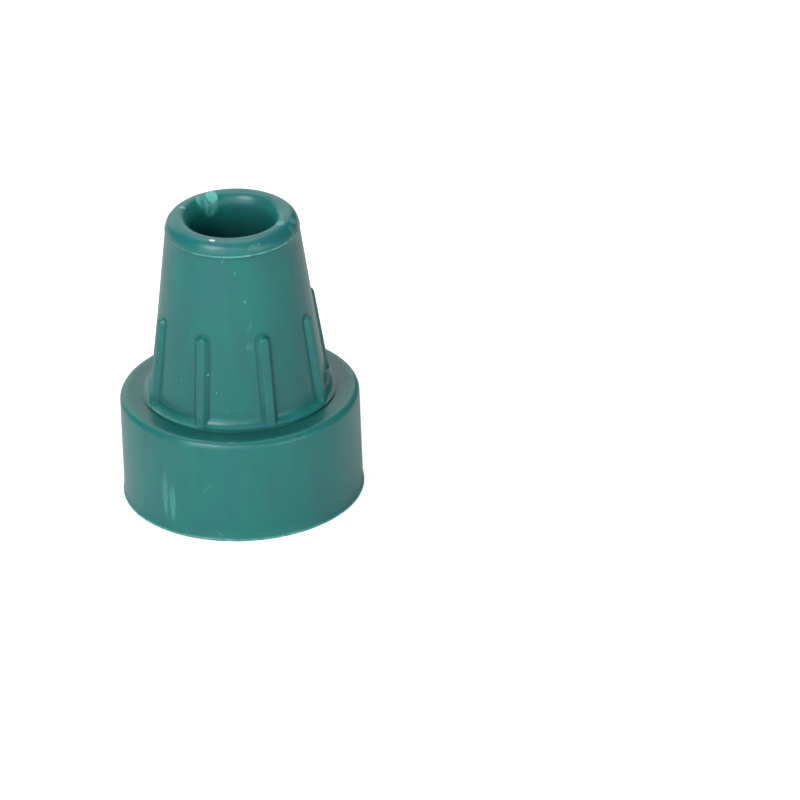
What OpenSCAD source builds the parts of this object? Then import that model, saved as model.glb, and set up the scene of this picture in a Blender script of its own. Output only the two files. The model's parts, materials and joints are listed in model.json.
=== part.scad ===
// Rubber cane tip: one moulded piece that pushes on to the end of a walking cane.
// A wide collar stands on a dished, grooved sole. A tapered neck with ribs at its foot
// rises from the collar and ends in a rounded lip around the socket for the cane.
// Millimetres. The origin is on the axis at ground level, and +Z points up the cane.

/* [Socket] */
// Radius of the socket that grips the cane
socket_r = 8; // [6:0.1:9.5]
// Depth of the socket below the top of the lip
socket_depth = 40; // [28:0.5:44]
// Round where the socket's wall meets its floor
socket_round = 1.2; // [0.4:0.1:3]

/* [Lip] */
// Height of the whole tip, from the ground to the top of the lip
tip_h = 57.5; // [52:0.1:70]
// Outer radius of the lip, where it meets the neck at the parting line
lip_r = 12.6; // [11.5:0.1:14]
// Rise of the lip above the parting line
lip_rise = 2.45; // [1.5:0.05:5]
// Radius of the lip's crest
crest_r = 10.1; // [9.7:0.05:11.3]
// Depth of the rounded lead-in, from the crest down to the socket's straight wall
lead_in_h = 2.9; // [1.5:0.05:5]
// How far the parting line stands out from the lip
seam_out = 0.12; // [0.05:0.01:0.4]
// Height of the parting line's ridge
seam_h = 0.3; // [0.15:0.05:1]

/* [Neck] */
// Radius of the neck just under the parting line
neck_top_r = 12.6; // [11.5:0.05:14]
// Radius that the neck's slope reaches at the shoulder
neck_foot_r = 16.8; // [15:0.05:17]
// Outer radius of the low step that the neck stands on
step_r = 18.2; // [17.5:0.05:20]
// Height of that step above the shoulder
step_h = 0.45; // [0.2:0.05:1.2]
// Round on the step's outer edge
step_round = 0.3; // [0.1:0.05:0.4]
// Hollow round that leads from the step up into the neck
foot_fillet = 2; // [1:0.1:3]

/* [Ribs] */
// Number of ribs around the neck
rib_count = 8; // [4:1:12]
// Turn of the first rib from the front
rib_phase = 22.5; // [0:0.5:45]
// Width of a rib where it leaves the neck
rib_w = 2.9; // [2.3:0.1:3.5]
// Width of a rib's crest before its corners are rounded
rib_crest_w = 1.9; // [1.2:0.1:2.2]
// How far a rib stands out from the neck at its foot
rib_out = 1.25; // [0.8:0.05:1.6]
// How far it stands out at its domed end
rib_end_out = 0.9; // [0.6:0.05:1.2]
// Length of a rib along the neck, from the shoulder to the tip of its domed end
rib_run = 18.5; // [10:0.1:26]
// Round on the long corners of a rib's crest
rib_round = 0.45; // [0.2:0.05:0.48]

/* [Collar] */
// Height of the collar's shoulder above the ground
collar_h = 20.7; // [14:0.1:26]
// Radius of the collar's side just above its foot
collar_r = 22.75; // [21.5:0.05:30]
// How much smaller the collar's side is at the top, which lets it leave the mould
collar_draft = 0.05; // [0:0.05:1]
// Round on the collar's top edge
collar_round = 1.35; // [0.5:0.05:2.5]
// How far the moulding flash stands out around the collar's foot
flash_out = 0.2; // [0.05:0.05:0.6]
// Height of the flash
flash_h = 0.45; // [0.2:0.05:1.5]

/* [Sole] */
// Width of the flat ring that touches the ground
contact_w = 1.4; // [0.8:0.1:2.5]
// Height of the dished sole's middle above the ground
dish_h = 3; // [1:0.1:4]
// Radius of the disc in the middle of the sole
disc_r = 6.8; // [5:0.1:8.5]
// Inner radius of the sole's middle ring
ring_in_r = 10.1; // [9.2:0.1:11.5]
// Outer radius of the sole's middle ring
ring_out_r = 14; // [13:0.1:15.5]
// Inner radius of the sole's outer land
land_in_r = 17.4; // [16.5:0.1:19]
// Height of the grooves' floors above the ground
groove_floor_h = 5.5; // [4.5:0.1:8]
// Round in the corners of the grooves' floors
groove_round = 0.4; // [0.1:0.05:0.8]

/* [Hidden] */
$fn = 96;
// Steps in a quarter of the lip's oval and in a rib's rounded corner
lip_steps = 12;
corner_steps = 4;
// How far a cut runs past the surface that it opens
past = 1;
// How deep a rib's root lies inside the neck
rib_root = 0.8;

parting_z = tip_h - lip_rise;
lead_in_z = tip_h - lead_in_h;
socket_floor_z = tip_h - socket_depth;
neck_rise = parting_z - collar_h;
neck_lean = atan((neck_foot_r - neck_top_r) / neck_rise);
// A rib leans in a little more than the neck, so it stands out less at its top
rib_lean = neck_lean + atan((rib_out - rib_end_out) / rib_run);
collar_top_r = collar_r - collar_draft;
foot_r = collar_r + flash_out;
dish_r = foot_r - contact_w;
dish_ball_r = (dish_r * dish_r + dish_h * dish_h) / (2 * dish_h);
// Where the hollow round touches the neck's slope, above the step
fillet_top_h = step_h + foot_fillet;
fillet_foot_r = neck_foot_r - fillet_top_h * tan(neck_lean);

rubber = [0.25, 0.5, 0.47];

// Half section of the collar: a drafted side with a rounded top edge and a flash at its foot
module collar_section() {
    edge_z = collar_h - collar_round;
    edge_r = collar_top_r - collar_round;
    polygon([[0, 0], [collar_r, 0], [collar_top_r, edge_z], [0, edge_z]]);
    square([edge_r, collar_h]);
    translate([edge_r, edge_z]) circle(r = collar_round);
    square([foot_r, flash_h]);
}

// Half section of the low step under the neck, with its outer edge rounded
module step_section() {
    square([step_r - step_round, collar_h + step_h]);
    square([step_r, collar_h + step_h - step_round]);
    translate([step_r - step_round, collar_h + step_h - step_round]) circle(r = step_round);
}

// Hollow round between the step and the neck
module foot_section() {
    difference() {
        translate([0, collar_h]) square([fillet_foot_r + foot_fillet, fillet_top_h]);
        translate([fillet_foot_r + foot_fillet, collar_h + fillet_top_h]) circle(r = foot_fillet);
        translate([fillet_foot_r + foot_fillet, collar_h + step_h]) square(fillet_top_h + past);
    }
}

// Half section of the tapered neck, with the fine ridge of the parting line at its top
module neck_section() {
    polygon([[0, collar_h - past], [neck_foot_r, collar_h - past], [neck_foot_r, collar_h],
             [neck_top_r, parting_z], [crest_r, parting_z],
             [crest_r, lead_in_z - seam_h], [0, lead_in_z - seam_h]]);
    translate([crest_r, parting_z - seam_h]) square([lip_r + seam_out - crest_r, seam_h]);
}

// Half section of the lip: two quarters of ovals, which meet at the crest
function outer_point(turn) =
    [crest_r + (lip_r - crest_r) * cos(turn), parting_z + lip_rise * sin(turn)];
function inner_point(turn) =
    [crest_r - (crest_r - socket_r) * sin(turn), lead_in_z + lead_in_h * cos(turn)];
module lip_section() {
    foot_z = min(parting_z, lead_in_z) - seam_h;
    polygon([[socket_r, foot_z], [lip_r, foot_z],
             for (i = [0 : lip_steps]) outer_point(i * 90 / lip_steps),
             for (i = [1 : lip_steps]) inner_point(i * 90 / lip_steps)]);
}

// Half section of a rib across its run, from its middle out: X is across and Y stands out
module rib_half_section() {
    crest = rib_crest_w / 2 - rib_round;
    polygon([[0, -rib_root], [rib_w / 2, -rib_root], [rib_w / 2, 0],
             for (i = [0 : corner_steps])
                 [crest + rib_round * cos(i * 90 / corner_steps),
                  rib_out - rib_round + rib_round * sin(i * 90 / corner_steps)],
             [0, rib_out]]);
}

// One rib on the front of the neck, laid along its slope, with a domed upper end
module rib() {
    straight = rib_run - rib_w / 2;
    translate([0, -neck_foot_r, collar_h]) rotate([-rib_lean, 0, 0]) {
        linear_extrude(straight) {
            mirror([0, 1]) rib_half_section();
            mirror([0, 1]) mirror([1, 0]) rib_half_section();
        }
        translate([0, 0, straight]) rotate([90, 0, 0]) rotate_extrude() rib_half_section();
    }
}

module ribs() {
    for (i = [0 : rib_count - 1]) rotate(rib_phase + i * 360 / rib_count) rib();
}

// The socket: a straight round bore with a rounded floor
module socket() {
    wall_z = socket_floor_z + socket_round;
    translate([0, 0, wall_z]) cylinder(r = socket_r, h = lead_in_z - wall_z);
    rotate_extrude() intersection() {
        union() {
            translate([0, socket_floor_z]) square([socket_r - socket_round, socket_round]);
            translate([socket_r - socket_round, wall_z]) circle(r = socket_round);
        }
        translate([0, socket_floor_z]) square([socket_r, socket_round]);
    }
}

// Section of one groove between two radii, with rounded corners at its floor
module groove_section(inner_r, outer_r) {
    straight_h = groove_floor_h - groove_round;
    translate([inner_r, -past]) square([outer_r - inner_r, straight_h + past]);
    translate([inner_r + groove_round, -past])
        square([outer_r - inner_r - 2 * groove_round, groove_floor_h + past]);
    translate([inner_r + groove_round, straight_h]) circle(r = groove_round);
    translate([outer_r - groove_round, straight_h]) circle(r = groove_round);
}

// The dish and the two grooves that leave a disc, a middle ring and an outer land
module sole_cuts() {
    translate([0, 0, dish_h - dish_ball_r]) sphere(r = dish_ball_r);
    rotate_extrude() groove_section(disc_r, ring_in_r);
    rotate_extrude() groove_section(ring_out_r, land_in_r);
}

module rubber_tip() {
    color(rubber) difference() {
        union() {
            rotate_extrude() {
                collar_section();
                step_section();
                foot_section();
                neck_section();
            }
            ribs();
            rotate_extrude() lip_section();
        }
        socket();
        sole_cuts();
    }
}

rubber_tip();
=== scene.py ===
"""A rubber cane tip in moulded teal rubber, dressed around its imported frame."""
import json
import logging
import math
from collections.abc import Callable, Iterator, Sequence
from contextlib import contextmanager
from dataclasses import dataclass, field
from enum import Enum

import bmesh
import bpy
from mathutils import Matrix, Vector


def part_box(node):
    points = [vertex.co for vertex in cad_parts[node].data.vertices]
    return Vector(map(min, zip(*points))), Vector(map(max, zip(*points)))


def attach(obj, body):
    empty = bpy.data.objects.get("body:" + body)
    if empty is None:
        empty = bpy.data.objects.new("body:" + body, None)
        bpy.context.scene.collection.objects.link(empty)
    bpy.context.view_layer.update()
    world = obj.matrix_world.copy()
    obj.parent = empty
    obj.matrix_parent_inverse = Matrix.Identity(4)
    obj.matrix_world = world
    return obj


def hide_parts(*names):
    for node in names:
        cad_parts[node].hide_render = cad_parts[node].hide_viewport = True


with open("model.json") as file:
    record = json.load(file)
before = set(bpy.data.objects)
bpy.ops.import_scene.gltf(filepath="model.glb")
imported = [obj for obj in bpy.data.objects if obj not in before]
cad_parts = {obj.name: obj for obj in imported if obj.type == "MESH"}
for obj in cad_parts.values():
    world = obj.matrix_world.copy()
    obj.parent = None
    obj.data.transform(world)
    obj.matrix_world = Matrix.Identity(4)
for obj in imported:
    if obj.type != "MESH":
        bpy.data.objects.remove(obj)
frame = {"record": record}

log = logging.getLogger("cane_tip")

MM = 0.001
# Points nearer than this lie on each other
TINY = 0.001 * MM
ROOT = "root"
NODE = "rubber_tip"
WHITE = (1.0, 1.0, 1.0, 1.0)

Colour = tuple[float, float, float, float]
Point = tuple[float, float]


class Blend(Enum):
    """How one colour is laid over another."""

    MIX = "MIX"
    MULTIPLY = "MULTIPLY"


class Sum(Enum):
    """Which way a sum on numbers works."""

    ADD = "ADD"
    SUBTRACT = "SUBTRACT"
    MULTIPLY = "MULTIPLY"
    DIVIDE = "DIVIDE"
    MAXIMUM = "MAXIMUM"
    ABSOLUTE = "ABSOLUTE"
    SQRT = "SQRT"
    FRACT = "FRACT"
    ARCTAN2 = "ARCTAN2"


@dataclass(frozen=True)
class Fade:
    """A stretch of values along which a result goes smoothly from low to high.

    The result is low at start and before it, and high at end and past it. The end may lie
    below the start.
    """

    start: float
    end: float
    low: float = 0.0
    high: float = 1.0


@dataclass(frozen=True)
class Grain:
    """A layer of noise: the size of its patches in millimetres and how many finer layers it has.

    A squeeze below 1 draws the patches out up and down. The shift moves the noise.
    """

    size_mm: float
    detail: float
    squeeze: float = 1.0
    shift: tuple[float, float, float] = (0.0, 0.0, 0.0)


class Val:
    """A number in a shader. Sums on it add Math nodes."""

    def __init__(self, net: "Net", socket: bpy.types.NodeSocket) -> None:
        """Wraps a socket.

        Args:
            net: The node tree that the socket is in.
            socket: An output that carries a number.
        """
        self.net = net
        self.socket = socket

    def _sum(self, way: Sum, *terms: "Val | float") -> "Val":
        """Adds one Math node.

        Args:
            way: The sum that the node does.
            terms: Its values, in order.

        Returns:
            The node's result.
        """
        node = self.net.node("ShaderNodeMath", {"operation": way.value}, dict(enumerate(terms)))
        return Val(self.net, node.outputs[0])

    def __add__(self, other: "Val | float") -> "Val":
        """Returns self + other."""
        return self._sum(Sum.ADD, self, other)

    def __radd__(self, other: float) -> "Val":
        """Returns other + self."""
        return self._sum(Sum.ADD, other, self)

    def __sub__(self, other: "Val | float") -> "Val":
        """Returns self - other."""
        return self._sum(Sum.SUBTRACT, self, other)

    def __rsub__(self, other: float) -> "Val":
        """Returns other - self."""
        return self._sum(Sum.SUBTRACT, other, self)

    def __mul__(self, other: "Val | float") -> "Val":
        """Returns self * other."""
        return self._sum(Sum.MULTIPLY, self, other)

    def __rmul__(self, other: float) -> "Val":
        """Returns other * self."""
        return self._sum(Sum.MULTIPLY, other, self)

    def __truediv__(self, other: "Val | float") -> "Val":
        """Returns self / other."""
        return self._sum(Sum.DIVIDE, self, other)

    def __neg__(self) -> "Val":
        """Returns -self."""
        return self._sum(Sum.MULTIPLY, self, -1.0)

    def most(self, other: "Val | float") -> "Val":
        """Returns the larger of two numbers."""
        return self._sum(Sum.MAXIMUM, self, other)

    def size(self) -> "Val":
        """Returns the number without its sign."""
        return self._sum(Sum.ABSOLUTE, self)

    def root(self) -> "Val":
        """Returns the number's square root."""
        return self._sum(Sum.SQRT, self)

    def fraction(self) -> "Val":
        """Returns what is left of the number above the next whole one below it."""
        return self._sum(Sum.FRACT, self)

    def around(self, ahead: "Val") -> "Val":
        """Returns the angle of a point whose sideways place is this number, in radians.

        Args:
            ahead: The point's place straight ahead.
        """
        return self._sum(Sum.ARCTAN2, self, ahead)

    def over(self, fade: Fade) -> "Val":
        """Returns the result of a fade along this number.

        Args:
            fade: The stretch of values and its two results.
        """
        node = self.net.node(
            "ShaderNodeMapRange",
            {"interpolation_type": "SMOOTHSTEP"},
            {
                "Value": self, "From Min": fade.start, "From Max": fade.end,
                "To Min": fade.low, "To Max": fade.high,
            },
        )
        return Val(self.net, node.outputs["Result"])


class Vec:
    """A vector in a shader. Sums on it add Vector Math nodes."""

    def __init__(self, net: "Net", socket: bpy.types.NodeSocket) -> None:
        """Wraps a socket.

        Args:
            net: The node tree that the socket is in.
            socket: An output that carries a vector.
        """
        self.net = net
        self.socket = socket

    def _sum(self, operation: str, other: "Vec | Sequence[float]") -> bpy.types.Node:
        """Adds one Vector Math node on two vectors and returns it."""
        return self.net.node("ShaderNodeVectorMath", {"operation": operation}, {0: self, 1: other})

    def __add__(self, other: "Vec | Sequence[float]") -> "Vec":
        """Returns self + other."""
        return Vec(self.net, self._sum("ADD", other).outputs["Vector"])

    def __sub__(self, other: "Vec | Sequence[float]") -> "Vec":
        """Returns self - other."""
        return Vec(self.net, self._sum("SUBTRACT", other).outputs["Vector"])

    def __mul__(self, other: "Vec | Sequence[float]") -> "Vec":
        """Returns self times other, each axis by itself."""
        return Vec(self.net, self._sum("MULTIPLY", other).outputs["Vector"])

    def length(self) -> Val:
        """Returns the vector's length."""
        node = self.net.node("ShaderNodeVectorMath", {"operation": "LENGTH"}, {0: self})
        return Val(self.net, node.outputs["Value"])

    def parts(self) -> tuple[Val, Val, Val]:
        """Returns the vector's three numbers."""
        node = self.net.node("ShaderNodeSeparateXYZ", {}, {0: self})
        x, y, z = (Val(self.net, out) for out in node.outputs)
        return x, y, z


class Net:
    """The node tree of one material."""

    def __init__(self, name: str) -> None:
        """Makes an empty material.

        Args:
            name: The material's name.
        """
        self.material = bpy.data.materials.new(name)
        self.material.use_nodes = True
        self.tree = self.material.node_tree
        self.tree.nodes.clear()

    def node(
        self, kind: str, settings: dict[str, object], inputs: dict[int | str, object]
    ) -> bpy.types.Node:
        """Adds any node.

        Args:
            kind: The node's type.
            settings: Its settings, such as an operation, which are set first.
            inputs: Values or links for its sockets, by name or number.

        Returns:
            The node.
        """
        made = self.tree.nodes.new(kind)
        for key, value in settings.items():
            setattr(made, key, value)
        for key, value in inputs.items():
            if isinstance(value, (Val, Vec)):
                self.tree.links.new(value.socket, made.inputs[key])
            elif isinstance(value, bpy.types.NodeSocket):
                self.tree.links.new(value, made.inputs[key])
            else:
                made.inputs[key].default_value = value
        return made

    def place(self) -> Vec:
        """Returns the point on the object, in millimetres."""
        coords = self.node("ShaderNodeTexCoord", {}, {})
        return Vec(self, coords.outputs["Object"]) * (1 / MM, 1 / MM, 1 / MM)

    def noise(self, place: Vec, grain: Grain) -> Val:
        """Returns soft noise from 0 to 1.

        Args:
            place: The point in millimetres.
            grain: The noise's patches, stretch and shift.
        """
        if grain.squeeze != 1.0:
            place = place * (1.0, 1.0, grain.squeeze)
        if any(grain.shift):
            place = place + grain.shift
        node = self.node(
            "ShaderNodeTexNoise",
            {},
            {"Vector": place, "Scale": 1 / grain.size_mm, "Detail": grain.detail},
        )
        return Val(self, node.outputs["Fac"])

    def wobble(self, place: Vec, grain: Grain, reach_mm: float) -> Vec:
        """Returns the point pulled about by noise, for ragged edges.

        Args:
            place: The point in millimetres.
            grain: The noise that pulls.
            reach_mm: How far it pulls where the noise is at its end, which it seldom reaches.
        """
        node = self.node(
            "ShaderNodeTexNoise",
            {},
            {"Vector": place, "Scale": 1 / grain.size_mm, "Detail": grain.detail},
        )
        half = 0.5
        pull = Vec(self, node.outputs["Color"]) - (half, half, half)
        whole = reach_mm / half
        return place + pull * (whole, whole, whole)

    def lay(self, under: "Colour | bpy.types.NodeSocket", over: "Colour | bpy.types.NodeSocket",
            amount: "Val | float", blend: Blend = Blend.MIX) -> bpy.types.NodeSocket:
        """Lays one colour over another.

        Args:
            under: The colour below.
            over: The colour on top.
            amount: How much of it shows.
            blend: How the two combine.

        Returns:
            The mixed colour.
        """
        # A Mix node has a set of sockets for each kind of data, and these are its colours
        under_socket, over_socket, mixed_socket = 6, 7, 2
        mix = self.node(
            "ShaderNodeMix",
            {"data_type": "RGBA", "blend_type": blend.value},
            {0: amount, under_socket: under, over_socket: over},
        )
        return mix.outputs[mixed_socket]


@contextmanager
def editing(piece: bpy.types.Object) -> Iterator[None]:
    """Opens a piece in edit mode, and leaves it again afterwards."""
    pick(piece)
    bpy.ops.object.mode_set(mode="EDIT")
    bpy.ops.mesh.select_mode(type="VERT")
    yield
    bpy.ops.object.mode_set(mode="OBJECT")


def pick(*pieces: bpy.types.Object) -> None:
    """Selects only these pieces and makes the first one active."""
    if bpy.context.object and bpy.context.object.mode != "OBJECT":
        bpy.ops.object.mode_set(mode="OBJECT")
    bpy.ops.object.select_all(action="DESELECT")
    for piece in pieces:
        piece.select_set(True)
    bpy.context.view_layer.objects.active = pieces[0]


def choose(piece: bpy.types.Object, wanted: Callable[[Vector], bool]) -> None:
    """Selects the points of a piece in edit mode that pass a test on their place.

    Args:
        piece: The piece that is open in edit mode.
        wanted: Takes a point's place in metres and says whether it is wanted.
    """
    bpy.ops.mesh.select_all(action="DESELECT")
    work = bmesh.from_edit_mesh(piece.data)
    for vert in work.verts:
        if wanted(vert.co):
            vert.select = True
    work.select_flush(True)
    bmesh.update_edit_mesh(piece.data)


def draw_line(name: str, points: Sequence[Vector]) -> bpy.types.Object:
    """Draws a chain of edges by extruding one point along it.

    Args:
        name: The new piece's name.
        points: The chain's points, in metres.

    Returns:
        The piece, with only the chain in it.
    """
    bpy.ops.object.select_all(action="DESELECT")
    bpy.ops.mesh.primitive_plane_add(size=2 * MM)
    piece = bpy.context.object
    piece.name = name
    with editing(piece):
        bpy.ops.mesh.select_all(action="SELECT")
        bpy.ops.mesh.merge(type="CENTER")
        bpy.ops.transform.translate(value=points[0])
        for last, point in zip(points, points[1:]):
            bpy.ops.mesh.extrude_vertices_move(TRANSFORM_OT_translate={"value": point - last})
    return piece


def close_up(piece: bpy.types.Object) -> None:
    """Merges points that lie on each other and turns all faces outwards.

    Args:
        piece: The piece to close.
    """
    with editing(piece):
        bpy.ops.mesh.select_all(action="SELECT")
        bpy.ops.mesh.remove_doubles(threshold=TINY)
        bpy.ops.mesh.normals_make_consistent(inside=False)


def arc(middle: Point, radius: float, start: float, end: float, steps: int) -> list[Point]:
    """Returns points on a round, from one angle to another.

    Args:
        middle: The round's middle, as radius and height.
        radius: The round's own radius.
        start: The first angle in degrees, 0 outwards and 90 up.
        end: The last angle.
        steps: How many steps lie between them.
    """
    return oval(middle, radius, radius, start, end, steps)


def oval(
    middle: Point, wide: float, high: float, start: float, end: float, steps: int
) -> list[Point]:
    """Returns points on an oval, from one angle to another.

    Args:
        middle: The oval's middle, as radius and height.
        wide: Half its width.
        high: Half its height.
        start: The first angle in degrees, 0 outwards and 90 up.
        end: The last angle.
        steps: How many steps lie between them.
    """
    turns = [math.radians(start + (end - start) * i / steps) for i in range(steps + 1)]
    return [(middle[0] + wide * math.cos(t), middle[1] + high * math.sin(t)) for t in turns]


def along(first: Point, last: Point, steps: int) -> list[Point]:
    """Returns the points inside a straight stretch, without its ends."""
    return [
        (first[0] + (last[0] - first[0]) * i / steps, first[1] + (last[1] - first[1]) * i / steps)
        for i in range(1, steps)
    ]


@dataclass(frozen=True)
class Sizes:
    """The tip's sizes in millimetres. The outer ones are read from the frame."""

    height: float
    foot_r: float
    socket_r: float
    socket_wall: float
    lip_r: float = 12.6
    lip_rise: float = 2.45
    crest_r: float = 10.1
    lead_in_h: float = 2.9
    seam_out: float = 0.12
    seam_h: float = 0.3
    neck_top_r: float = 12.6
    neck_foot_r: float = 16.8
    step_r: float = 18.2
    step_h: float = 0.45
    step_round: float = 0.3
    foot_fillet: float = 2.0
    collar_h: float = 20.7
    collar_r: float = 22.75
    collar_draft: float = 0.05
    collar_round: float = 1.35
    flash_h: float = 0.45
    contact_w: float = 1.4
    dish_h: float = 3.0
    disc_r: float = 6.8
    ring_in_r: float = 10.1
    ring_out_r: float = 14.0
    land_in_r: float = 17.4
    groove_floor_h: float = 5.5
    groove_round: float = 0.4
    socket_round: float = 1.2

    @classmethod
    def from_frame(cls) -> "Sizes":
        """Reads the height, the foot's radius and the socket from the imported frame."""
        low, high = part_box(NODE)
        socket = next(m for m in frame["record"]["mounts"] if m["name"] == "socket")
        return cls(
            height=high.z / MM,
            foot_r=(high.x - low.x) / 2 / MM,
            socket_r=socket["dims"]["r_mm"],
            socket_wall=socket["dims"]["length_mm"],
        )

    @property
    def parting_z(self) -> float:
        """Height of the parting line between neck and lip."""
        return self.height - self.lip_rise

    @property
    def lead_in_z(self) -> float:
        """Height at which the socket's straight wall begins."""
        return self.height - self.lead_in_h

    @property
    def lean(self) -> float:
        """Slope of the neck's side from upright, in radians."""
        return math.atan((self.neck_foot_r - self.neck_top_r) / (self.parting_z - self.collar_h))

    def dish_z(self, radius: float) -> float:
        """Returns the height of the hollow sole at a radius."""
        rim = self.foot_r - self.contact_w
        ball = (rim * rim + self.dish_h * self.dish_h) / (2 * self.dish_h)
        return self.dish_h - ball + math.sqrt(ball * ball - radius * radius)

    def neck_r(self, height: float) -> float:
        """Returns the neck's radius at a height."""
        return self.neck_foot_r - (height - self.collar_h) * math.tan(self.lean)


@dataclass(frozen=True)
class RibSizes:
    """The sizes of one rib on the neck, in millimetres."""

    count: int = 8
    phase_deg: float = 22.5
    width: float = 2.9
    crest: float = 1.9
    out: float = 1.25
    end_out: float = 0.9
    run: float = 18.5
    corner: float = 0.45
    root: float = 0.8
    skirt: float = 0.22
    side_out: float = 0.1
    sunk: float = 0.02
    corner_end_deg: float = 12.0


@dataclass(frozen=True)
class Softening:
    """Small offsets that keep the moulded edges from being sharp, in millimetres."""

    sole_edge: float = 0.2
    flash_bevel: float = 0.12
    flash_foot_h: float = 0.03
    flash_draft: float = 0.02
    flash_top: float = 0.08
    flash_root_r: float = 0.06
    flash_root_h: float = 0.02
    step_foot: tuple[Point, ...] = ((0.5, 0.0), (0.26, 0.03), (0.1, 0.09))
    seam_bevel: float = 0.06
    seam_foot_h: float = 0.05
    seam_side: tuple[float, ...] = (0.12, 0.2)
    seam_top: float = 0.05
    seam_groove: float = 0.02
    lip_start_deg: float = 4.0
    lip_end_deg: float = 88.0


@dataclass(frozen=True)
class Steps:
    """How finely each stretch of the section and of the turned forms is divided."""

    columns: int = 320
    groove: int = 3
    sole: int = 5
    ring: int = 4
    side: int = 9
    shoulder: int = 3
    collar_round: int = 10
    step_round: int = 4
    foot_fillet: int = 10
    neck: int = 20
    lip: int = 20
    wall: int = 10
    socket_round: int = 6
    floor: int = 4
    rib_corner: int = 5
    rib_dome: int = 16


@dataclass
class Moulding:
    """The whole tip: one turned moulding with ribs joined to its neck."""

    sizes: Sizes
    rib: RibSizes = field(default_factory=RibSizes)
    soft: Softening = field(default_factory=Softening)
    steps: Steps = field(default_factory=Steps)
    smooth_deg: float = 34.0

    def groove(self, inner: float, outer: float) -> list[Point]:
        """Returns the section of one groove, from its inner edge to its outer one.

        Args:
            inner: Radius of the groove's inner wall.
            outer: Radius of its outer wall.
        """
        s, e, r, n = self.sizes, self.soft.sole_edge, self.sizes.groove_round, self.steps.groove
        top = s.groove_floor_h
        inner_z, outer_z = s.dish_z(inner), s.dish_z(outer)
        return [
            *arc((inner - e, inner_z + e), e, -90, 0, n),
            *along((inner, inner_z + e), (inner, top - r), n),
            *arc((inner + r, top - r), r, 180, 90, n),
            *along((inner + r, top), (outer - r, top), n),
            *arc((outer - r, top - r), r, 90, 0, n),
            *along((outer, top - r), (outer, outer_z + e), n),
            *arc((outer + e, outer_z + e), e, 180, 270, n),
        ]

    def sole_section(self) -> list[Point]:
        """Returns the sole's section, from its middle out to the contact ring."""
        s, edge, steps = self.sizes, self.soft.sole_edge, self.steps
        rim = s.foot_r - s.contact_w

        def dish(first: float, last: float, count: int) -> list[Point]:
            """Returns points along the hollow sole between two radii."""
            radii = [first + (last - first) * i / count for i in range(1, count)]
            return [(radius, s.dish_z(radius)) for radius in radii]

        return [
            (0.0, s.dish_h),
            *dish(0.0, s.disc_r - edge, steps.sole),
            *self.groove(s.disc_r, s.ring_in_r),
            *dish(s.ring_in_r + edge, s.ring_out_r - edge, steps.ring),
            *self.groove(s.ring_out_r, s.land_in_r),
            *dish(s.land_in_r + edge, rim, steps.sole),
            (rim, 0.0),
            (s.foot_r - 2 * edge, 0.0),
        ]

    def side_section(self) -> list[Point]:
        """Returns the collar's section, from the contact ring up to the low step."""
        s, soft, steps = self.sizes, self.soft, self.steps
        top_r = s.collar_r - s.collar_draft
        edge_z = s.collar_h - s.collar_round
        round_r = top_r - s.collar_round
        step_foot = [(s.step_r + out, s.collar_h + up) for out, up in soft.step_foot]
        step_middle = (s.step_r - s.step_round, s.collar_h + s.step_h - s.step_round)
        return [
            (s.foot_r - soft.flash_bevel, soft.flash_foot_h),
            (s.foot_r, soft.flash_bevel),
            (s.foot_r - soft.flash_draft, s.flash_h - soft.flash_top),
            (s.collar_r + soft.flash_root_r, s.flash_h + soft.flash_root_h),
            (s.collar_r, s.flash_h + soft.flash_bevel),
            *along((s.collar_r, s.flash_h), (top_r, edge_z), steps.side),
            *arc((round_r, edge_z), s.collar_round, 0, 90, steps.collar_round),
            *along((round_r, s.collar_h), step_foot[0], steps.shoulder),
            *step_foot,
            *arc(step_middle, s.step_round, 0, 90, steps.step_round),
        ]

    def neck_section(self) -> list[Point]:
        """Returns the section of the hollow round at the neck's foot and of the neck."""
        s = self.sizes
        step_z = s.collar_h + s.step_h
        touch_z = step_z + s.foot_fillet
        touch_r = s.neck_r(touch_z)
        middle = (touch_r + s.foot_fillet, touch_z)
        seam_z = s.parting_z - s.seam_h
        return [
            *arc(middle, s.foot_fillet, 270, 180, self.steps.foot_fillet),
            *along((touch_r, touch_z), (s.neck_r(seam_z), seam_z), self.steps.neck),
            (s.neck_r(seam_z), seam_z),
        ]

    def lip_section(self) -> list[Point]:
        """Returns the section of the parting line's ridge and of the lip over into the socket."""
        s, soft, steps = self.sizes, self.soft, self.steps
        outer = (s.crest_r, s.parting_z)
        inner = (s.crest_r, s.lead_in_z)
        ridge_r = s.lip_r + s.seam_out
        ridge_z = s.parting_z - s.seam_h
        return [
            (ridge_r - soft.seam_bevel, ridge_z + soft.seam_foot_h),
            *((ridge_r, ridge_z + up) for up in soft.seam_side),
            (ridge_r - soft.seam_top, s.parting_z - soft.seam_top),
            (s.lip_r - soft.seam_groove, s.parting_z),
            *oval(
                outer, s.lip_r - s.crest_r, s.lip_rise,
                soft.lip_start_deg, soft.lip_end_deg, steps.lip,
            ),
            *oval(inner, s.crest_r - s.socket_r, s.lead_in_h, 90, 180, steps.lip),
        ]

    def socket_section(self) -> list[Point]:
        """Returns the section of the socket's wall and floor, ending on the axis."""
        s, steps = self.sizes, self.steps
        wall_foot_z = s.lead_in_z - s.socket_wall
        floor_z = wall_foot_z - s.socket_round
        corner = (s.socket_r - s.socket_round, wall_foot_z)
        return [
            *along((s.socket_r, s.lead_in_z), (s.socket_r, wall_foot_z), steps.wall),
            *arc(corner, s.socket_round, 0, -90, steps.socket_round),
            *along((corner[0], floor_z), (0.0, floor_z), steps.floor),
            (0.0, floor_z),
        ]

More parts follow.
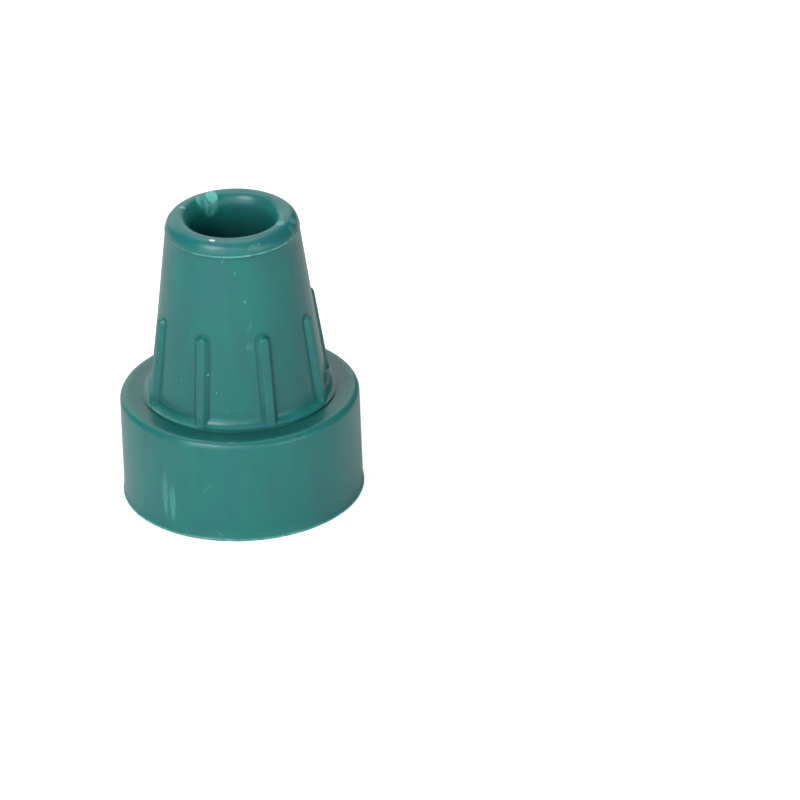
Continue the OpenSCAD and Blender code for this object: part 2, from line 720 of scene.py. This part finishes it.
    def turn(self) -> bpy.types.Object:
        """Turns the half section round the axis into a closed body."""
        section = [
            *self.sole_section(), *self.side_section(), *self.neck_section(),
            *self.lip_section(), *self.socket_section(),
        ]
        line = [Vector((r * MM, 0.0, z * MM)) for r, z in section]
        body = draw_line("rubber_moulding", line)
        with editing(body):
            bpy.ops.mesh.select_all(action="SELECT")
            bpy.ops.mesh.spin(
                steps=self.steps.columns, angle=math.tau, center=(0, 0, 0), axis=(0, 0, 1)
            )
        close_up(body)
        return body

    def rib_section(self) -> list[Point]:
        """Returns half of a rib's section: across, and out from the neck's slope."""
        rib = self.rib
        crest = rib.crest / 2 - rib.corner
        half = rib.width / 2
        return [
            (0.0, rib.out),
            *arc(
                (crest, rib.out - rib.corner), rib.corner,
                90, rib.corner_end_deg, self.steps.rib_corner,
            ),
            (half - rib.side_out, rib.skirt),
            (half, rib.skirt / 3),
            (half + rib.skirt / 2, -rib.sunk),
            (half + rib.skirt, -rib.root),
        ]

    def one_rib(self) -> bpy.types.Object:
        """Builds the rib at the front: a spun domed end with a straight run drawn down from it."""
        rib, s = self.rib, self.sizes
        line = [Vector((x * MM, -y * MM, 0.0)) for x, y in self.rib_section()]
        piece = draw_line("rib", line)
        straight = (rib.run - rib.width / 2) * MM
        root = rib.root * MM
        with editing(piece):
            bpy.ops.mesh.select_all(action="SELECT")
            bpy.ops.mesh.spin(
                steps=self.steps.rib_dome, angle=math.pi, center=(0, 0, 0), axis=(0, 1, 0)
            )
            bpy.ops.mesh.select_all(action="SELECT")
            bpy.ops.mesh.remove_doubles(threshold=TINY)
            choose(piece, lambda co: abs(co.z) < TINY)
            bpy.ops.mesh.extrude_region_move(TRANSFORM_OT_translate={"value": (0, 0, -straight)})
            choose(piece, lambda co: abs(co.z + straight) < TINY and co.y > root - TINY)
            bpy.ops.mesh.edge_face_add()
            choose(piece, lambda co: co.y > root - TINY)
            bpy.ops.mesh.edge_face_add()
            choose(piece, lambda co: abs(co.z + straight) < TINY)
            bpy.ops.mesh.edge_face_add()
        close_up(piece)
        lean = s.lean + math.atan((rib.out - rib.end_out) / rib.run)
        turn = Matrix.Rotation(-lean, 4, "X")
        foot = Vector((0.0, -s.neck_foot_r * MM, s.collar_h * MM))
        piece.rotation_euler = (-lean, 0.0, 0.0)
        piece.location = foot + turn @ Vector((0.0, 0.0, straight))
        pick(piece)
        bpy.ops.object.transform_apply(location=True, rotation=True, scale=True)
        return piece

    def ribs(self) -> bpy.types.Object:
        """Copies the rib around the neck and returns all of them as one piece."""
        first = self.one_rib()
        copies = []
        for i in range(self.rib.count):
            pick(first)
            bpy.ops.object.duplicate()
            copy = bpy.context.object
            turn_deg = self.rib.phase_deg + 360 * i / self.rib.count
            copy.rotation_euler = (0.0, 0.0, math.radians(turn_deg))
            bpy.ops.object.transform_apply(location=True, rotation=True, scale=True)
            copies.append(copy)
        bpy.data.objects.remove(first)
        pick(*copies)
        bpy.ops.object.join()
        return bpy.context.object

    def build(self) -> bpy.types.Object:
        """Joins the ribs to the turned body and finishes the surface."""
        body = self.turn()
        ribs = self.ribs()
        pick(body)
        join = body.modifiers.new("join_ribs", "BOOLEAN")
        join.operation = "UNION"
        join.solver = "EXACT"
        join.object = ribs
        bpy.ops.object.modifier_apply(modifier=join.name)
        bpy.data.objects.remove(ribs)
        close_up(body)
        pick(body)
        bpy.ops.object.shade_smooth_by_angle(angle=math.radians(self.smooth_deg))
        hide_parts(NODE)
        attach(body, ROOT)
        return body


@dataclass(frozen=True)
class Mark:
    """A mark on the rubber, as a soft-edged egg in millimetres.

    The half sizes go across, outwards and upwards. The lean tips the mark over to its right.
    Soft is the part of the half size at which the mark begins to fade. Streaks run up and down
    it, and their number is counted across its half width.
    """

    centre: tuple[float, float, float]
    half: tuple[float, float, float]
    lean_deg: float = 0.0
    strength: float = 1.0
    streaks: float = 0.0
    soft: float = 0.45
    streak_run: float = 0.35
    streak_grain: Grain = Grain(1.0, 3.0)
    streak_fade: Fade = Fade(0.36, 0.6, 0.25, 1.0)

    def mask(self, net: Net, place: Vec) -> Val:
        """Returns how strongly the mark shows, from 0 to its strength.

        Args:
            net: The material's node tree.
            place: The point in millimetres, pulled about a little for ragged edges.
        """
        turn = math.atan2(self.centre[0], -self.centre[1])
        node = net.node(
            "ShaderNodeMapping",
            {"vector_type": "TEXTURE"},
            {
                "Vector": place, "Location": self.centre, "Scale": self.half,
                "Rotation": (0.0, math.radians(self.lean_deg), turn),
            },
        )
        local = Vec(net, node.outputs["Vector"])
        shown = local.length().over(Fade(1.0, self.soft, 0.0, self.strength))
        if self.streaks:
            spot = local * (self.streaks, self.streak_run, self.streak_run)
            shown = shown * net.noise(spot, self.streak_grain).over(self.streak_fade)
        return shown


@dataclass(frozen=True)
class Marks:
    """Marks of one colour, which are laid over the rubber together."""

    colour: Colour
    marks: tuple[Mark, ...]

    def mask(self, net: Net, place: Vec) -> Val:
        """Returns how strongly the strongest mark shows at each point."""
        first, *others = (mark.mask(net, place) for mark in self.marks)
        for other in others:
            first = first.most(other)
        return first


BLOOM = Marks(
    (0.13, 0.56, 0.51, 1.0),
    (
        # a pale patch on the lip's far left, run down into the socket
        Mark((-4.15, 8.3, 57.2), (1.3, 1.7, 1.6), soft=0.75),
        Mark((-5.9, 6.9, 56.6), (1.7, 1.5, 2.6), strength=0.7, streaks=3.0, soft=0.5),
        Mark((-4.3, 6.8, 55.2), (1.8, 1.2, 2.0), strength=0.6, streaks=3.0, soft=0.5),
        # a torn bit of flash on the left of the lip
        Mark((-9.3, 3.2, 57.5), (0.5, 1.0, 0.6), strength=0.9, soft=0.6),
        # a nick at the socket's right edge, and paler mottling beside it
        Mark((9.25, -3.98, 57.4), (1.1, 0.95, 0.7), strength=0.6, soft=0.7),
        Mark((11.6, -2.0, 56.8), (1.4, 0.9, 1.3), strength=0.7, streaks=2.5, soft=0.4),
        Mark((11.6, -4.2, 56.5), (1.2, 1.0, 1.5), strength=0.45, streaks=3.0, soft=0.4),
        # thin strokes under the rim and specks on the neck
        Mark((-1.35, -12.7, 53.9), (0.2, 0.6, 1.05), lean_deg=20.0, strength=0.3),
        Mark((0.95, -12.9, 51.6), (0.22, 0.6, 0.22), strength=0.5),
        Mark((2.6, -13.4, 45.9), (0.2, 0.6, 0.2), strength=0.9),
        Mark((-10.15, -12.1, 28.9), (0.2, 0.6, 0.2), strength=0.8),
        Mark((-7.8, -12.3, 39.0), (0.16, 0.6, 0.16), strength=0.7),
        Mark((-4.85, -14.95, 31.4), (0.2, 0.6, 0.2), strength=0.9),
        Mark((-3.4, -15.6, 27.9), (0.16, 0.6, 0.16), strength=0.8),
        Mark((-1.5, -16.3, 24.2), (0.18, 0.6, 0.22), strength=0.7),
        # upright scuffs on the left of the collar
        Mark((-13.8, -18.1, 8.0), (0.75, 0.6, 6.2), strength=0.36, streaks=3.0),
        Mark((-12.4, -19.1, 6.6), (0.85, 0.6, 4.8), strength=0.4, streaks=3.5),
    ),
)
PALE = Marks(
    (0.2, 0.45, 0.43, 1.0),
    (
        # a faint scribble on the front of the lip
        Mark((4.9, -11.3, 56.5), (2.1, 0.8, 0.6), lean_deg=-8.0, strength=0.32, streaks=4.0),
        # scuffs on the neck between two ribs
        Mark((3.2, -14.5, 37.0), (1.0, 0.6, 1.0), lean_deg=30.0, strength=0.22, streaks=2.5),
        Mark((3.4, -14.1, 41.0), (0.35, 0.6, 1.6), lean_deg=35.0, strength=0.14),
        # a scratch and small knocks on the collar
        Mark((-5.6, -22.0, 11.0), (0.14, 0.6, 1.9), lean_deg=42.0, strength=0.32),
        Mark((-3.4, -22.5, 1.5), (0.22, 0.6, 0.8), lean_deg=-40.0, strength=0.3),
        Mark((-0.6, -21.7, 20.6), (1.2, 0.45, 0.35), strength=0.25, streaks=3.0),
    ),
)
DARK = Marks(
    (0.006, 0.06, 0.06, 1.0),
    (
        # dark edges beside the pale patches on the lip, the first a painted shadow under the torn
        # flash, a pit on the neck and the lint's painted shadow
        Mark((-8.9, 3.3, 57.0), (0.7, 1.0, 0.55), strength=0.6),
        Mark((-7.7, 5.0, 56.9), (0.9, 1.2, 0.9), strength=0.45, streaks=2.0),
        Mark((11.9, -3.1, 56.0), (2.2, 0.9, 1.3), strength=0.55, streaks=2.0),
        Mark((1.5, -14.9, 35.9), (0.15, 0.6, 0.2), strength=0.8),
        Mark((-3.6, -10.7, 57.2), (0.6, 0.2, 0.3), strength=0.45),
    ),
)
LINT = Marks(
    (0.85, 0.85, 0.85, 1.0),
    (
        # a bit of white lint on the front of the lip
        Mark((-3.2, -10.4, 57.4), (0.65, 0.26, 0.3), soft=0.85),
    ),
)


@dataclass(frozen=True)
class Shading:
    """Where painted shade darkens the rubber, by radius, height or distance in millimetres, and how
    much.
    """

    socket_radius: Fade = Fade(9.8, 8.1)
    socket_height: Fade = Fade(56.5, 48.0, 0.0, 0.85)
    socket_floor: Fade = Fade(16.0, 17.0)
    neck_height: Fade = Fade(21.5, 22.3)
    neck_radius: Fade = Fade(11.0, 12.0)
    rib_inside: Fade = Fade(-0.25, 0.0)
    rib_outside: Fade = Fade(0.5, 0.05)
    rib_share: float = 0.5
    low_neck: Fade = Fade(50.0, 30.0)
    low_neck_share: float = 0.12
    ring_inside: Fade = Fade(17.6, 18.3)
    ring_outside: Fade = Fade(22.0, 20.6)
    ring_below: Fade = Fade(19.8, 20.5)
    ring_above: Fade = Fade(21.4, 21.1)
    ring_share: float = 0.42
    foot_height: Fade = Fade(24.2, 22.4)
    foot_side: Fade = Fade(-4.0, -8.0)
    foot_share: float = 0.42
    seam_below: Fade = Fade(54.1, 54.6)
    seam_above: Fade = Fade(54.85, 54.7)
    seam_radius: Fade = Fade(11.5, 12.0)
    seam_share: float = 0.3


@dataclass(frozen=True)
class EdgeHighlight:
    """Where the parting line and the step's edge carry a painted highlight and the foot's flash is
    paler, by radius, height or place in millimetres.
    """

    grain: Grain = Grain(1.6, 3.0)
    patchy: Fade = Fade(0.3, 0.7, 0.35, 1.0)
    back_share: float = 0.35
    to_right: Fade = Fade(-8.0, 12.0, 0.35, 1.0)
    line_height: Fade = Fade(0.24, 0.08)
    line_radius: Fade = Fade(12.1, 12.5)
    edge_in: float = 0.1
    edge_down: float = 0.08
    edge_radius: Fade = Fade(0.22, 0.04)
    edge_height: Fade = Fade(0.3, 0.1)
    edge_side: Fade = Fade(-5.0, -9.0)
    edge_front: Fade = Fade(-6.5, -9.5)
    edge_share: float = 0.8
    flash_height: Fade = Fade(0.6, 0.35)
    flash_radius: Fade = Fade(22.7, 22.85)
    flash_share: float = 0.6


@dataclass(frozen=True)
class Dust:
    """Where dull bloom, specks and grit lie, by radius, height or place in millimetres."""

    sole_height: Fade = Fade(3.6, 3.2)
    sole_radius: Fade = Fade(21.9, 21.4)
    side_share: float = 0.5
    sole_side: Fade = Fade(-12.0, 14.0, 0.2, 1.0)
    sole_grain: Grain = Grain(3.5, 5.0, shift=(0.0, 0.0, 7.0))
    sole_patches: Fade = Fade(0.4, 0.66, 0.1, 0.9)
    tread_height: Fade = Fade(0.12, 0.03)
    tread_grain: Grain = Grain(0.8, 4.0)
    tread_patches: Fade = Fade(0.35, 0.65, 0.25, 0.9)
    speck_grain: Grain = Grain(0.32, 1.0)
    specks: Fade = Fade(0.735, 0.78, 0.0, 0.75)
    patch_grain: Grain = Grain(7.0, 2.0, shift=(3.0, 0.0, 0.0))
    patches: Fade = Fade(0.45, 0.65, 0.15, 1.0)
    ledge_below: Fade = Fade(18.5, 20.0)
    ledge_above: Fade = Fade(22.5, 21.5)
    ledge_side: Fade = Fade(4.0, 14.0)
    grit_grain: Grain = Grain(0.22, 2.0)
    grit: Fade = Fade(0.58, 0.7, 0.0, 0.7)


@dataclass(frozen=True)
class Skin:
    """The rubber's gloss and its fine relief. The shares are how much each layer adds."""

    roughness: float = 0.3
    bloom_rough: float = 0.2
    pale_rough: float = 0.15
    chalk_rough: float = 0.2
    grain: Grain = Grain(0.3, 4.0)
    grain_height: float = 0.6
    pits: Grain = Grain(1.6, 3.0)
    pit_height: float = 1.2
    bloom_height: float = 1.5
    bump: float = 0.2
    relief_mm: float = 0.04


@dataclass(frozen=True)
class Rubber:
    """Satin teal rubber as it comes from the mould, with light wear and dust, painted shade in its
    socket, creases and shoulder, and a painted highlight along its parting line and step.
    """

    sizes: Sizes
    rib: RibSizes
    name: str = "teal_rubber"
    base: Colour = (0.013, 0.188, 0.181, 1.0)
    bluer: Colour = (0.02, 0.174, 0.179, 1.0)
    greener: Colour = (0.0125, 0.206, 0.187, 1.0)
    # seam: the pale teal of the painted highlight on the parting line and the step's edge, and of
    # the paler flash round the foot
    seam: Colour = (0.17, 0.62, 0.53, 1.0)
    chalk: Colour = (0.13, 0.37, 0.34, 1.0)
    # shade: the colour that painted shade and the dark smears multiply the rubber by
    shade: Colour = (0.3, 0.22, 0.22, 1.0)
    cloud_grain: Grain = Grain(6.0, 2.0, 0.5)
    clouds: Fade = Fade(0.4, 0.64)
    veil_grain: Grain = Grain(3.5, 1.5, 0.3, (9.0, 0.0, 0.0))
    veils: Fade = Fade(0.42, 0.72, 0.0, 0.8)
    smear_grain: Grain = Grain(2.4, 3.5, 0.35, (0.0, 4.0, 0.0))
    smears: Fade = Fade(0.54, 0.74, 0.0, 0.11)
    ragged_grain: Grain = Grain(0.7, 3.0)
    ragged_mm: float = 0.32
    shading: Shading = Shading()
    edge_highlight: EdgeHighlight = EdgeHighlight()
    dust: Dust = Dust()
    skin: Skin = Skin()

    def rib_gap(self, x: Val, y: Val, z: Val) -> Val:
        """Returns the distance from the nearest rib's side, in millimetres.

        Args:
            x: The point's place to the right, in millimetres.
            y: Its place backwards.
            z: Its height.
        """
        rib = self.rib
        step = math.tau / rib.count
        turn = (x.around(-y) - math.radians(rib.phase_deg)) / step
        across = ((turn + 0.5).fraction() - 0.5) * step * (x * x + y * y).root()
        dome_z = self.sizes.collar_h + (rib.run - rib.width / 2) * math.cos(self.sizes.lean)
        above = (z - dome_z).most(0.0)
        return (across * across + above * above).root() - rib.width / 2

    def shades(self, x: Val, y: Val, z: Val) -> Val:
        """Returns how much painted shade darkens the rubber: deep in the socket, in the creases
        beside the ribs, low on the neck, in the hollow round at the neck's foot on the front left,
        under the parting line's ridge and on the shoulder ring.

        Args:
            x: The point's place to the right, in millimetres.
            y: Its place backwards.
            z: Its height.
        """
        own = self.shading
        radius = (x * x + y * y).root()
        inside = radius.over(own.socket_radius) * z.over(own.socket_height)
        inside = inside * z.over(own.socket_floor)
        on_neck = z.over(own.neck_height) * radius.over(own.neck_radius)
        gap = self.rib_gap(x, y, z)
        crease = gap.over(own.rib_inside) * gap.over(own.rib_outside) * on_neck * own.rib_share
        low_neck = z.over(own.low_neck) * on_neck * own.low_neck_share
        ring = radius.over(own.ring_inside) * radius.over(own.ring_outside) * own.ring_share
        ring = ring * z.over(own.ring_below) * z.over(own.ring_above)
        foot = z.over(own.foot_height) * x.over(own.foot_side) * y.over(own.foot_side)
        foot = foot * on_neck * own.foot_share
        seam = z.over(own.seam_below) * z.over(own.seam_above) * radius.over(own.seam_radius)
        return inside.most(crease).most(low_neck).most(foot).most(ring).most(seam * own.seam_share)

    def seam_highlights(self, net: Net, place: Vec) -> Val:
        """Returns how strongly the painted highlight shows on the parting line and the step's edge,
        and how pale the flash round the foot is.

        Args:
            net: The material's node tree.
            place: The point in millimetres.
        """
        s, own = self.sizes, self.edge_highlight
        x, y, z = place.parts()
        radius = (x * x + y * y).root()
        patchy = net.noise(place, own.grain).over(own.patchy)
        to_right = (x - y * own.back_share).over(own.to_right)
        line = (z - (s.parting_z - s.seam_h / 2)).size().over(own.line_height)
        line = line * radius.over(own.line_radius) * to_right * patchy
        edge = (radius - (s.step_r - own.edge_in)).size().over(own.edge_radius)
        edge = edge * (z - (s.collar_h + s.step_h - own.edge_down)).size().over(own.edge_height)
        edge = edge * x.over(own.edge_side) * y.over(own.edge_front) * patchy * own.edge_share
        flash = z.over(own.flash_height) * radius.over(own.flash_radius) * patchy * own.flash_share
        return line.most(edge).most(flash)

    def dusty(self, net: Net, place: Vec) -> Val:
        """Returns how dull the sole is, and how strongly fine specks show elsewhere.

        Args:
            net: The material's node tree.
            place: The point in millimetres.
        """
        own = self.dust
        x, y, z = place.parts()
        radius = (x * x + y * y).root()
        sole = z.over(own.sole_height) * radius.over(own.sole_radius)
        sole = sole * (y - x * own.side_share).over(own.sole_side)
        sole = sole * net.noise(place, own.sole_grain).over(own.sole_patches)
        tread = z.over(own.tread_height) * net.noise(place, own.tread_grain).over(own.tread_patches)
        specks = net.noise(place, own.speck_grain).over(own.specks)
        specks = specks * net.noise(place, own.patch_grain).over(own.patches)
        ledge = z.over(own.ledge_below) * z.over(own.ledge_above) * x.over(own.ledge_side)
        grit = net.noise(place, own.grit_grain).over(own.grit) * ledge
        return sole.most(tread).most(specks).most(grit)

    def dress(self, piece: bpy.types.Object) -> None:
        """Builds the material and gives it to a piece.

        Args:
            piece: The piece that wears it.
        """
        net = Net(self.name)
        skin = self.skin
        place = net.place()
        ragged = net.wobble(place, self.ragged_grain, self.ragged_mm)
        smears = net.noise(place, self.smear_grain).over(self.smears)
        # painted shade in the socket, the creases and on the shoulder, together with the dark
        # smears
        shade = self.shades(*place.parts()).most(smears)
        chalk = self.dusty(net, place)
        bloom = BLOOM.mask(net, ragged)
        pale = PALE.mask(net, ragged)
        clouds = net.noise(place, self.cloud_grain).over(self.clouds)
        colour = net.lay(self.base, self.bluer, clouds)
        colour = net.lay(colour, self.greener, net.noise(place, self.veil_grain).over(self.veils))
        colour = net.lay(colour, self.shade, shade, Blend.MULTIPLY)
        # painted highlight along the parting line and the step's edge, and the paler flash round
        # the foot
        colour = net.lay(colour, self.seam, self.seam_highlights(net, place))
        colour = net.lay(colour, self.chalk, chalk)
        colour = net.lay(colour, BLOOM.colour, bloom)
        colour = net.lay(colour, PALE.colour, pale)
        colour = net.lay(colour, DARK.colour, DARK.mask(net, ragged))
        colour = net.lay(colour, LINT.colour, LINT.mask(net, place))
        rough = skin.roughness + bloom * skin.bloom_rough
        rough = rough + pale * skin.pale_rough + chalk * skin.chalk_rough
        height = net.noise(place, skin.grain) * skin.grain_height
        height = height + net.noise(place, skin.pits) * skin.pit_height + bloom * skin.bloom_height
        bump = net.node(
            "ShaderNodeBump",
            {},
            {"Strength": skin.bump, "Distance": skin.relief_mm * MM, "Height": height},
        )
        surface = net.node(
            "ShaderNodeBsdfPrincipled",
            {},
            {"Base Color": colour, "Roughness": rough, "Normal": bump.outputs["Normal"]},
        )
        net.node("ShaderNodeOutputMaterial", {}, {"Surface": surface.outputs["BSDF"]})
        piece.data.materials.clear()
        piece.data.materials.append(net.material)


@dataclass(frozen=True)
class Softbox:
    """A soft lamp: where it hangs around the tip, its size and how bright its face is.

    The turn goes from the front to the right and the rise from the ground, in degrees. A glow
    of 1 is as bright as the white table.
    """

    name: str
    turn_deg: float
    rise_deg: float
    wide_m: float
    high_m: float
    glow: float

    @property
    def power(self) -> float:
        """Returns the lamp's power in watts."""
        return math.pi * self.wide_m * self.high_m * self.glow


@dataclass
class Studio:
    """White surroundings, a white table and soft lamps."""

    table_m: float = 6.0
    table_paint: Colour = (0.8, 0.8, 0.8, 1.0)
    table_glow: float = 0.66
    world_strength: float = 0.03
    lamp_away_m: float = 1.2
    lamp_aim_m: float = 0.03
    boxes: tuple[Softbox, ...] = (
        Softbox("front_low_left", -28.0, 15.0, 1.05, 0.7, 1.9),
        Softbox("front_low_right", 26.0, 14.0, 1.05, 0.65, 0.85),
        Softbox("right_low", 52.0, 12.0, 0.6, 0.5, 2.2),
        Softbox("front_left_high", -38.0, 44.0, 0.5, 0.45, 8.6),
        Softbox("front_high", 0.0, 40.0, 0.7, 0.5, 1.7),
        Softbox("back_wide", -165.0, 24.0, 1.6, 0.9, 1.05),
        Softbox("back_high", -165.0, 62.0, 0.9, 0.6, 1.5),
        Softbox("top", 180.0, 80.0, 0.8, 0.8, 1.15),
    )

    def table(self) -> None:
        """Makes the white table that the tip stands on. Away from the tip it shows as white."""
        bpy.ops.object.select_all(action="DESELECT")
        bpy.ops.mesh.primitive_plane_add(size=self.table_m, location=(0, 0, 0))
        table = bpy.context.object
        table.name = "white_table"
        net = Net("white_table")
        rays = net.node("ShaderNodeLightPath", {}, {})
        seen = Val(net, rays.outputs["Is Camera Ray"])
        paint = net.node("ShaderNodeBsdfDiffuse", {}, {"Color": self.table_paint})
        glow = net.node("ShaderNodeEmission", {}, {"Strength": seen * self.table_glow})
        both = net.node("ShaderNodeAddShader", {}, {0: paint.outputs[0], 1: glow.outputs[0]})
        net.node("ShaderNodeOutputMaterial", {}, {"Surface": both.outputs[0]})
        table.data.materials.append(net.material)

    def world(self) -> None:
        """Makes the surroundings: white where they are seen, plain soft light elsewhere."""
        world = bpy.data.worlds.new("white_surroundings")
        bpy.context.scene.world = world
        world.use_nodes = True
        tree = world.node_tree
        tree.nodes.clear()
        rays = tree.nodes.new("ShaderNodeLightPath")
        plain = tree.nodes.new("ShaderNodeBackground")
        plain.inputs["Color"].default_value = WHITE
        plain.inputs["Strength"].default_value = self.world_strength
        white = tree.nodes.new("ShaderNodeBackground")
        white.inputs["Color"].default_value = WHITE
        mix = tree.nodes.new("ShaderNodeMixShader")
        tree.links.new(rays.outputs["Is Camera Ray"], mix.inputs[0])
        tree.links.new(plain.outputs[0], mix.inputs[1])
        tree.links.new(white.outputs[0], mix.inputs[2])
        out = tree.nodes.new("ShaderNodeOutputWorld")
        tree.links.new(mix.outputs[0], out.inputs["Surface"])

    def hang(self, box: Softbox) -> None:
        """Hangs one soft oblong lamp that points at the tip.

        Args:
            box: The lamp's place and power.
        """
        data = bpy.data.lights.new(box.name, "AREA")
        data.shape = "RECTANGLE"
        data.size = box.wide_m
        data.size_y = box.high_m
        data.energy = box.power
        lamp = bpy.data.objects.new(box.name, data)
        bpy.context.scene.collection.objects.link(lamp)
        turn, rise = math.radians(box.turn_deg), math.radians(box.rise_deg)
        level = Vector((math.sin(turn), -math.cos(turn), 0.0)) * math.cos(rise)
        way = level + Vector((0.0, 0.0, math.sin(rise)))
        lamp.location = way * self.lamp_away_m + Vector((0, 0, self.lamp_aim_m))
        lamp.rotation_euler = (-way).to_track_quat("-Z", "Y").to_euler()
        lamp.visible_camera = False

    def build(self) -> None:
        """Makes the table, the surroundings and the lamps, and sets plain colours."""
        self.table()
        self.world()
        for box in self.boxes:
            self.hang(box)
        bpy.context.scene.view_settings.view_transform = "Standard"


@dataclass(frozen=True)
class PhotoCamera:
    """The camera that took the photograph, worked out from the tip's outline in it."""

    focal_px: float = 8213.2
    image_px: float = 800.0
    sensor_mm: float = 36.0
    right_mm: float = 30.292
    back_mm: float = 1371.775
    up_mm: float = 754.326
    down_deg: float = 28.267
    roll_deg: float = -2.052
    turn_deg: float = 2.4
    clip_m: tuple[float, float] = (0.01, 50.0)

    def build(self) -> None:
        """Makes the camera and puts it in its place."""
        data = bpy.data.cameras.new("photo_camera")
        data.sensor_width = self.sensor_mm
        data.lens = self.focal_px / self.image_px * self.sensor_mm
        data.clip_start, data.clip_end = self.clip_m
        camera = bpy.data.objects.new("photo_camera", data)
        bpy.context.scene.collection.objects.link(camera)
        around = Matrix.Rotation(math.radians(self.turn_deg), 4, "Z")
        spot = around @ Vector((self.right_mm, -self.back_mm, self.up_mm)) * MM
        tilt = Matrix.Rotation(math.radians(90 - self.down_deg), 4, "X")
        roll = Matrix.Rotation(math.radians(self.roll_deg), 4, "Z")
        camera.matrix_world = Matrix.Translation(spot) @ around @ tilt @ roll
        bpy.context.scene.camera = camera


def plain(corners: tuple[Vector, Vector]) -> list[list[float]]:
    """Returns a box's two corners as plain lists of numbers."""
    return [list(corner) for corner in corners]


def main() -> None:
    """Builds the camera, the studio and the tip, and logs the moulding's face count."""
    logging.basicConfig(level=logging.INFO, format="%(name)s: %(message)s")
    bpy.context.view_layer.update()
    PhotoCamera().build()
    Studio().build()
    tip = Moulding(Sizes.from_frame())
    moulding = tip.build()
    Rubber(tip.sizes, tip.rib).dress(moulding)
    log.info("moulding: %d faces", len(moulding.data.polygons))


if __name__ == "__main__":
    main()
